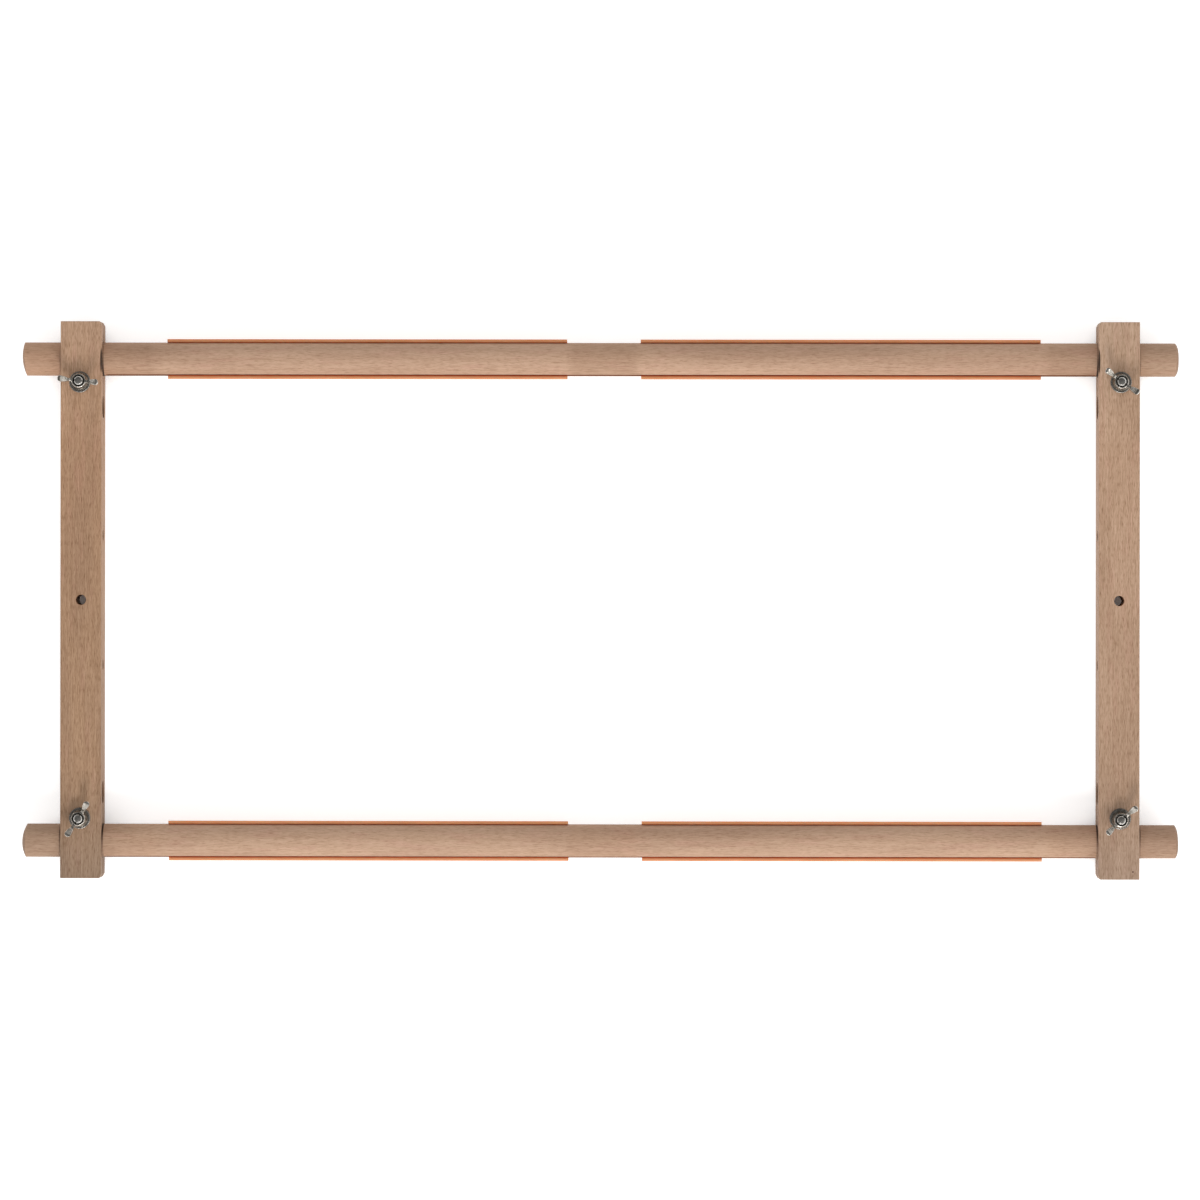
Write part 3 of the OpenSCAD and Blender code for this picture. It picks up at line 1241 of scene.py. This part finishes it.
@dataclass
class Clip:
    """A plastic channel sprung over the back of a roller: a lead-in lip on one side, a hook on the other."""

    row: Row
    side: Side
    inner: float = 9.25 * MM
    wall: float = 1.4 * MM
    wrap: float = 4.0
    bend: float = 12.0
    contact: Point = (8.8 * MM, 2.2 * MM)
    lip_top: Point = (9.3 * MM, 3.2 * MM)
    lip_reach: float = 10.75 * MM
    lip_corner: float = 0.25 * MM
    lip_crest: float = 0.1 * MM
    hook_width: float = 2.28 * MM
    hook_middle: float = 1.5 * MM
    hook_half_height: float = 0.62 * MM
    hook_proud: float = 0.1 * MM
    end_slant: float = 0.12 * MM

    def build(self, tree: GeometryTree, material: Material) -> None:
        """Sweeps the clip along its roller and hands it to its body.

        Args:
            tree: The sweeping tree.
            material: The plastic.
        """
        node = f"{self.row.word}_{self.side.word}_clip"
        low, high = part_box(node)
        axle = node_middle(f"{self.row.word}_roller")
        slant = self.end_slant
        clip = self.section(f"{node}_channel")
        tree.run(clip, {"From": low.x + slant, "Length": high.x - low.x - 2 * slant, "Finish": material})
        reach = self.inner + self.wall
        for vertex in clip.data.vertices:
            vertex.co.x -= slant * vertex.co.y / reach
        place(clip, Matrix.Translation((0, axle.y, axle.z)))
        shade(clip.data, 40.0)
        dressed(clip, node, node)

    def section(self, name: str) -> Solid:
        """The channel's section as a closed line, which the sweep turns half round.

        Args:
            name: Name of the object.

        Returns:
            The loop of edges.
        """
        outer, corner, crest = self.inner + self.wall, self.lip_corner, self.lip_crest
        touch, (edge, top) = self.contact, self.lip_top
        lip = arc((self.lip_reach - corner, top - corner), corner, -20, 90, 8)
        lip += arc((edge + crest, top - crest), crest, 90, 150, 4)
        lip += [(touch[0] + 0.07 * MM, touch[1] + 0.26 * MM), touch]
        lip += [(touch[0] + 0.06 * MM, touch[1] - 0.27 * MM)]
        half = self.hook_width / 2
        root = half - outer - self.hook_proud
        bulb = arc((0, 0), 1.0, 215, 0, 33)
        hook = [(root - half * x, self.hook_middle + self.hook_half_height * y) for x, y in bulb]
        channel = arc((0, 0), outer, -180 - self.wrap, self.bend, 97) + lip
        channel += arc((0, 0), self.inner, self.bend - 2, -180 - self.wrap, 97) + hook
        points = [(-x, -y, 0) for x, y in channel]
        return mesh_object(name, points, edges=[(i, (i + 1) % len(points)) for i in range(len(points))])


def sweeping_tree() -> GeometryTree:
    """The tree that sweeps a section along X.

    Returns:
        The tree.
    """
    made = GeometryTree("swept_channel", {"From": "Float", "Length": "Float", "Finish": "Material"})
    section = made.wire("MeshToCurve", {"Mesh": made.given("Geometry")})
    first = made.given("From")
    last = made.wire("ShaderNodeMath", {0: first, 1: made.given("Length")}, operation="ADD")
    start, end = (made.wire("ShaderNodeCombineXYZ", {"X": x}) for x in (first, last))
    made.close(made.sweep(made.wire("CurvePrimitiveLine", {"Start": start, "End": end}), section))
    return made


@dataclass
class Fastening:
    """One clamp's carriage bolt, washer and wing nut."""

    row: Row
    side: Side
    turn: float
    washer_shift: Point = (0.0, 0.0)
    head_radius: float = 6.5 * MM
    head_height: float = 2.8 * MM
    dome_share: float = 0.97
    neck: float = 5.0 * MM
    neck_length: float = 3.0 * MM
    neck_root: float = 0.5 * MM
    root_radius: float = 2.12 * MM
    crest_radius: float = 2.45 * MM
    ridge_root: float = 0.02 * MM
    pitch: float = 0.8 * MM
    tip_bevel: float = 0.6 * MM
    washer_radius: float = 5.75 * MM
    washer_hole: float = 3.05 * MM

    @property
    def corner(self) -> str:
        """The corner's name, such as upper_left."""
        return f"{self.row.word}_{self.side.word}"

    def build(self, thread: GeometryTree, nut: Mesh, bolt_metal: Material, washer_metal: Material) -> None:
        """Makes the three pieces and hands them to their bodies.

        Args:
            thread: The thread tree.
            nut: The casting that all four nuts share, with its materials.
            bolt_metal: The bolt's material.
            washer_metal: The washer's material.
        """
        spot = node_middle(f"{self.corner}_bolt")
        self.make_bolt(spot, thread, bolt_metal)
        self.make_washer(spot, washer_metal)
        node = f"{self.corner}_wing_nut"
        foot = Matrix.Translation((spot.x, spot.y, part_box(node)[0].z))
        casting = linked(f"{self.corner}_nut_casting", nut.copy())
        place(casting, foot @ Matrix.Rotation(math.radians(self.turn), 4, "Z"))
        dressed(casting, node, node)

    def make_bolt(self, spot: Vector, thread: GeometryTree, metal: Material) -> None:
        """A domed head, a square neck and a rolled thread.

        Args:
            spot: Middle of the bolt.
            thread: The thread tree.
            metal: Its material.
        """
        node = f"{self.corner}_bolt"
        low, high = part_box(node)
        length, head, rim = high.z - low.z, self.head_height, self.head_radius
        root, crest, bevel = self.root_radius, self.crest_radius, self.tip_bevel
        ball = (rim**2 + head**2) / (2 * head)
        reach = math.degrees(math.asin(rim / ball)) * self.dome_share
        dome = [(0.0, 0.0)] + arc((0, ball), ball, -90, -90 + reach, 14)[1:]
        edge = [(rim - 0.04 * MM, dome[-1][1] + 0.08 * MM), (rim - 0.02 * MM, head - 0.12 * MM)]
        edge += [(rim - 0.16 * MM, head), (root, head)]
        shank = [(root, length - bevel - 0.25 * MM), (crest - 0.12 * MM, length - bevel)]
        shank += [(crest - bevel, length - 0.06 * MM), (crest - bevel - 0.1 * MM, length)]
        profile = dome + edge + shank + [(0.0, length - 0.05 * MM)]
        bolt = lathe(f"{self.corner}_carriage_bolt", profile, 64)
        half, start = self.neck / 2, head + self.neck_length
        neck = slab("neck", (-half, -half, head - self.neck_root), (half, half, start))
        ridge = mesh_object("thread", ())
        turns = (length - bevel - 0.1 * MM - start) / self.pitch
        sizes = {"Radius": root - self.ridge_root, "Depth": crest - root + self.ridge_root}
        sizes |= {"Start": start, "Pitch": self.pitch, "Turns": turns, "Facets": 32}
        thread.run(ridge, {**sizes, "Finish": metal})
        merge_into(bolt, [neck, ridge])
        place(bolt, Matrix.Translation((spot.x, spot.y, low.z)))
        shade(bolt.data, 38.0)
        dressed(bolt, f"{self.side.word}_bar", node, metal)

    def make_washer(self, spot: Vector, metal: Material) -> None:
        """A stamped washer: rolled over on top, sharp below.

        Args:
            spot: Middle of its bolt.
            metal: Its material.
        """
        node = f"{self.corner}_washer"
        low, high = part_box(node)
        thick, outer, inner = high.z - low.z, self.washer_radius, self.washer_hole
        below = [(inner + 0.1 * MM, 0.0), (outer - 0.08 * MM, 0.0), (outer, 0.08 * MM)]
        rolled = [(outer, thick - 0.35 * MM), (outer - 0.1 * MM, thick - 0.13 * MM)]
        rolled += [(outer - 0.32 * MM, thick - 0.02 * MM), (outer - 0.6 * MM, thick)]
        hole = [(inner + 0.25 * MM, thick), (inner, thick - 0.2 * MM), (inner, 0.1 * MM)]
        washer = lathe(f"{self.corner}_washer_ring", below + rolled + hole, ring=True)
        aside, up = self.washer_shift
        place(washer, Matrix.Translation((spot.x + aside, spot.y + up, low.z)))
        shade(washer.data, 50.0)
        dressed(washer, node, node, metal)


def thread_tree() -> GeometryTree:
    """The tree that winds a rolled thread up a bolt, fading at both ends.

    Returns:
        The tree.
    """
    sizes = dict.fromkeys(("Start", "Pitch", "Turns", "Radius", "Depth"), "Float")
    made = GeometryTree("rolled_thread", {**sizes, "Facets": "Int", "Finish": "Material"})
    turns, radius = made.given("Turns"), made.given("Radius")
    height = made.wire("ShaderNodeMath", {0: made.given("Pitch"), 1: turns}, operation="MULTIPLY")
    shape = {"Rotations": turns, "Start Radius": radius, "End Radius": radius, "Height": height}
    spiral = made.wire("CurveSpiral", {"Resolution": made.given("Facets"), **shape})
    upright = made.wire("SetCurveNormal", {"Curve": spiral}, mode="Z_UP")
    along = made.wire("SplineParameter")
    rise, fall = (
        made.wire("ShaderNodeMapRange", {"Value": along, "From Min": end, "From Max": full})
        for end, full in ((0.0, 0.03), (1.0, 0.985))
    )
    faded = made.wire("ShaderNodeMath", {0: rise, 1: fall}, operation="MULTIPLY")
    section = {"Resolution": 4, "Radius": made.given("Depth")}
    body = made.sweep(upright, made.wire("CurvePrimitiveCircle", section, mode="RADIUS"), faded)
    lift = made.wire("ShaderNodeCombineXYZ", {"Z": made.given("Start")})
    made.close(made.wire("Transform", {"Geometry": body, "Translation": lift}))
    return made


@dataclass
class WingNutCasting:
    """The rough cast wing nut that all four corners share, its wings along X."""

    metal: Material
    bore_metal: Material
    base_radius: float = 4.6 * MM
    top_radius: float = 3.8 * MM
    hub_height: float = 6.2 * MM
    span: float = 22.0 * MM
    height: float = 11.0 * MM
    waist: float = 1.7 * MM
    lobe: float = 3.4 * MM
    bore: float = 2.5 * MM
    mouth: float = 0.45 * MM
    voxel: float = 0.16 * MM
    smoothing: int = 14

    def build(self) -> Mesh:
        """Casts the nut.

        Returns:
            Its mesh, standing on Z 0 with its bore on the Z axis.
        """
        nut = lathe("wing_nut_casting", self.hub_profile())
        for way in (1, -1):
            wing = prism("wing", self.plan(way), 0.0, self.height)
            side = prism("wing_side", self.ear(way), -self.lobe, self.lobe)
            place(side, Matrix.Rotation(math.pi / 2, 4, "X"))
            carve(wing, [side], Carving.KEEP_SHARED)
            carve(nut, [wing], Carving.ADD)
        skin = nut.modifiers.new("skin", "REMESH")
        skin.mode = "VOXEL"
        skin.voxel_size = self.voxel
        smooth = nut.modifiers.new("smooth", "SMOOTH")
        smooth.factor = 0.5
        smooth.iterations = self.smoothing
        settle(nut)
        self.fit_size(nut.data)
        carve(nut, [self.bore_tool()])
        face_outwards(nut.data, weld=WELD)
        shade(nut.data, 48.0)
        mesh = nut.data.copy()
        bpy.data.objects.remove(nut)
        self.paint(mesh)
        return mesh

    def paint(self, mesh: Mesh) -> None:
        """Gives the casting its metal, and the bore and its mouth a near-black metal as painted shade.

        Args:
            mesh: The casting.
        """
        mesh.materials.clear()
        mesh.materials.append(self.metal)
        mesh.materials.append(self.bore_metal)
        for polygon in mesh.polygons:
            inside = math.hypot(polygon.center.x, polygon.center.y) < self.bore + self.mouth + 0.08 * MM
            polygon.material_index = int(inside and polygon.center.z > 0.02 * MM)

    def hub_profile(self) -> list[Point]:
        """The flared hub.

        Returns:
            Its points, from its foot to its rounded top.
        """
        foot, top, tall = self.base_radius, self.top_radius, self.hub_height
        flare = [(0.0, 0.0), (foot, 0.0), (foot, 0.5 * MM), (foot - 0.2 * MM, 0.9 * MM)]
        flare += [(foot - 0.32 * MM, 1.4 * MM), (top + 0.12 * MM, 3.0 * MM)]
        rounded = [(top + 0.05 * MM, tall - 0.45 * MM), (top - 0.12 * MM, tall - 0.12 * MM)]
        return flare + rounded + [(top - 0.4 * MM, tall), (0.0, tall)]

    def plan(self, way: int) -> list[Point]:
        """One wing from above: a narrow waist that swells into a round lobe.

        Args:
            way: The side that it points to.

        Returns:
            Its outline.
        """
        half, waist = self.lobe / 2, self.waist / 2
        upper = [(1.0 * MM, waist * 1.3), (4.2 * MM, waist), (5.6 * MM, waist * 1.08)]
        upper += [(7.4 * MM, half * 0.86)]
        upper += arc((self.span / 2 - half, 0), half, 100, 0, 13)
        points = upper + [(x, -y) for x, y in reversed(upper[:-1])]
        return [(way * x, y) for x, y in points]

    def ear(self, way: int) -> list[Point]:
        """One wing from the side: an ear that rises and leans outwards.

        Args:
            way: The side that it points to.

        Returns:
            Its outline.
        """
        far, tall = self.span / 2, self.height
        rise = ((1.0, 1.1), (4.3, 1.1), (6.2, 2.6), (8.3, 5.0), (10.1, 7.6))
        fall = ((7.4, 9.2), (5.9, 7.8), (4.9, 6.6), (3.6, 5.9), (1.0, 5.6))
        tip = [(far - 0.05 * MM, 9.3 * MM), (far, 10.2 * MM), (far - 0.25 * MM, 10.8 * MM)]
        tip += [(far - 0.9 * MM, tall), (far - 1.8 * MM, tall - 0.3 * MM)]
        front, back = ([(x * MM, z * MM) for x, z in edge] for edge in (rise, fall))
        return [(way * x, z) for x, z in front + tip + back]

    def fit_size(self, mesh: Mesh) -> None:
        """Brings the smoothed casting back to its full span, height and flat foot.

        Args:
            mesh: The casting.
        """
        xs = [v.co.x for v in mesh.vertices]
        zs = [v.co.z for v in mesh.vertices]
        wide, low, high = max(xs) - min(xs), min(zs), max(zs)
        stretch = Matrix.Diagonal((self.span / wide, 1.0, self.height / (high - low), 1.0))
        mesh.transform(stretch @ Matrix.Translation((-(max(xs) + min(xs)) / 2, 0, -low)))

    def bore_tool(self) -> Solid:
        """The bore with its bevelled mouth on top.

        Returns:
            The cutter.
        """
        tall, wide = self.hub_height, self.bore + self.mouth + 0.3 * MM
        start, end = -1.0 * MM, tall + 1.0 * MM
        profile = [(0.0, start), (self.bore, start), (self.bore, tall - self.mouth - 0.1 * MM)]
        profile += [(wide, tall + 0.2 * MM), (wide, end), (0.0, end)]
        return lathe("bore", profile, 64)


# Studio


@dataclass
class Studio:
    """The white table, the lamps and the camera over the frame."""

    distance: float = 3.08
    lens: float = 171.07
    sensor: float = 36.0
    foot: Point = (32.4 * MM, 0.2 * MM)
    aside: float = 19.4 * MM
    shift: float = -0.02
    roll: float = 0.07
    table_half: float = 8.0
    table_drop: float = 0.3 * MM
    table_white: Colour = (0.84, 0.84, 0.84, 1)
    glow: float = 0.62
    shade_reach: float = 40 * MM
    shade_samples: int = 6
    white: Colour = (1, 1, 1, 1)
    front: Triple = (0.4, -0.92, 0.0)

    def build(self) -> None:
        """Sets the whole studio up."""
        scene = bpy.context.scene
        scene.view_settings.view_transform = "Standard"
        self.place_camera(scene)
        self.lay_table()
        self.light_room(scene)
        self.hang_lamp("key_softbox", (0.15, -2.25, 1.95), 0.8, 31.0)
        self.hang_lamp("side_softbox", (1.9, -1.35, 1.7), 0.9, 9.0)

    def place_camera(self, scene: bpy.types.Scene) -> None:
        """Puts the camera over the frame, a little to the right of its middle.

        Args:
            scene: The scene.
        """
        data = bpy.data.cameras.new("camera")
        data.lens, data.sensor_width, data.sensor_fit = self.lens, self.sensor, "HORIZONTAL"
        data.shift_x = self.shift
        data.clip_start, data.clip_end = 0.1, 100.0
        camera = linked("camera", data)
        camera.location = (*self.foot, AXLE_Z + self.distance)
        camera.rotation_euler = (0.0, math.atan(self.aside / self.distance), math.radians(self.roll))
        scene.camera = camera

    def lay_table(self) -> None:
        """Lays the white table, which glows where it lies open and is clear when seen from below."""
        far = self.table_half
        corners = [(-far, -far, 0), (far, -far, 0), (far, far, 0), (-far, far, 0)]
        table = mesh_object("table", corners, [(0, 1, 2, 3)])
        place(table, Matrix.Translation((0, 0, -self.table_drop)))
        desk = ShaderDesk(bpy.data.materials.new("white_table"))
        plain = desk.wire("BsdfDiffuse", {"Color": self.table_white})
        sky = desk.add("AmbientOcclusion", {"Distance": self.shade_reach}, samples=self.shade_samples)
        strength = desk.span(sky.outputs["AO"], 0.14, 0.34, 0.0, self.glow)
        shine = desk.wire("Emission", {"Strength": strength})
        both = desk.wire("AddShader", {0: plain, 1: shine})
        above = desk.choose(desk.seen(), plain, both)
        clear = desk.wire("BsdfTransparent")
        below = desk.add("NewGeometry").outputs["Backfacing"]
        table.data.materials.append(desk.close("OutputMaterial", desk.choose(below, above, clear)))

    def light_room(self, scene: bpy.types.Scene) -> None:
        """Gives the room its soft light, a dark ceiling and back in mirrors, and a white backdrop.

        Args:
            scene: The scene.
        """
        scene.world = bpy.data.worlds.new("studio")
        desk = ShaderDesk(scene.world)
        way = desk.where.outputs["Generated"]
        rise = desk.part(way, 2)
        soft = desk.span(rise, 0.1, 0.95, 1.0, 0.46, soft=False)
        ceiling = desk.span(rise, 0.25, 0.85, 1.0, 0.22)
        facing = desk.span(desk.vector("DOT_PRODUCT", way, self.front), -0.7, 0.7, 0.35, 1.25, soft=False)
        mirrored = desk.maths("MULTIPLY", ceiling, facing)
        level = desk.between(desk.add("LightPath").outputs["Is Glossy Ray"], soft, mirrored)
        room, drop = (desk.wire("Background", {"Color": self.white, "Strength": s}) for s in (level, 1.0))
        desk.close("OutputWorld", desk.choose(desk.seen(glossy=False), room, drop))

    def hang_lamp(self, name: str, spot: Triple, size: float, power: float) -> None:
        """Hangs a square softbox that faces the frame.

        Args:
            name: Name of the lamp.
            spot: Its place.
            size: Length of its side.
            power: Its power in watts.
        """
        data = bpy.data.lights.new(name, "AREA")
        data.shape, data.size, data.energy = "SQUARE", size, power
        lamp = linked(name, data)
        lamp.location = spot
        lamp.rotation_euler = (-Vector(spot)).to_track_quat("-Z", "Y").to_euler()
        lamp.visible_camera = False


# The frame


@dataclass
class TapestryFrame:
    """The whole frame, built piece by piece."""

    bars: tuple[SideBar, ...] = (SideBar(Side.LEFT, LEFT_BAR_BEECH), SideBar(Side.RIGHT, RIGHT_BAR_BEECH))
    rollers: tuple[Roller, ...] = (
        Roller(
            Row.UPPER,
            UPPER_ROLLER_BEECH,
            left=TurnedEnd(1.8 * MM, 2.2, -0.55 * MM),
            right=TurnedEnd(1.8 * MM, 4.5, 0.0),
        ),
        Roller(
            Row.LOWER,
            LOWER_ROLLER_BEECH,
            left=TurnedEnd(2.4 * MM, 2.2, 0.45 * MM),
            right=TurnedEnd(1.6 * MM, 4.5, 0.3 * MM),
        ),
    )
    clips: tuple[Clip, ...] = tuple(Clip(row, side) for row in Row for side in Side)
    fastenings: tuple[Fastening, ...] = (
        Fastening(Row.UPPER, Side.LEFT, -6, (0.1 * MM, -0.5 * MM)),
        Fastening(Row.UPPER, Side.RIGHT, -36, (0.1 * MM, -0.2 * MM)),
        Fastening(Row.LOWER, Side.LEFT, 58, (0.3 * MM, 0.1 * MM)),
        Fastening(Row.LOWER, Side.RIGHT, 42, (-0.1 * MM, 0.5 * MM)),
    )

    def build(self) -> None:
        """Builds every sub-assembly in order."""
        for bar in self.bars:
            bar.build()
        turning = turning_tree()
        for roller in self.rollers:
            roller.build(turning)
        sweeping, plastic = sweeping_tree(), PlasticFinish().material()
        for clip in self.clips:
            clip.build(sweeping, plastic)
        thread, bolt_metal, washer_metal = thread_tree(), BOLT_ZINC.material(), WASHER_ZINC.material()
        nut = WingNutCasting(NUT_CASTING.material(), NUT_BORE_SHADE.material()).build()
        for fastening in self.fastenings:
            fastening.build(thread, nut, bolt_metal, washer_metal)
        bpy.data.meshes.remove(nut)


def main() -> None:
    """Loads the CAD frame, dresses it and sets up the studio."""
    logging.basicConfig(level=logging.INFO, format="%(message)s")
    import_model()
    Studio().build()
    TapestryFrame().build()
    bpy.context.view_layer.update()


if __name__ == "__main__":
    main()
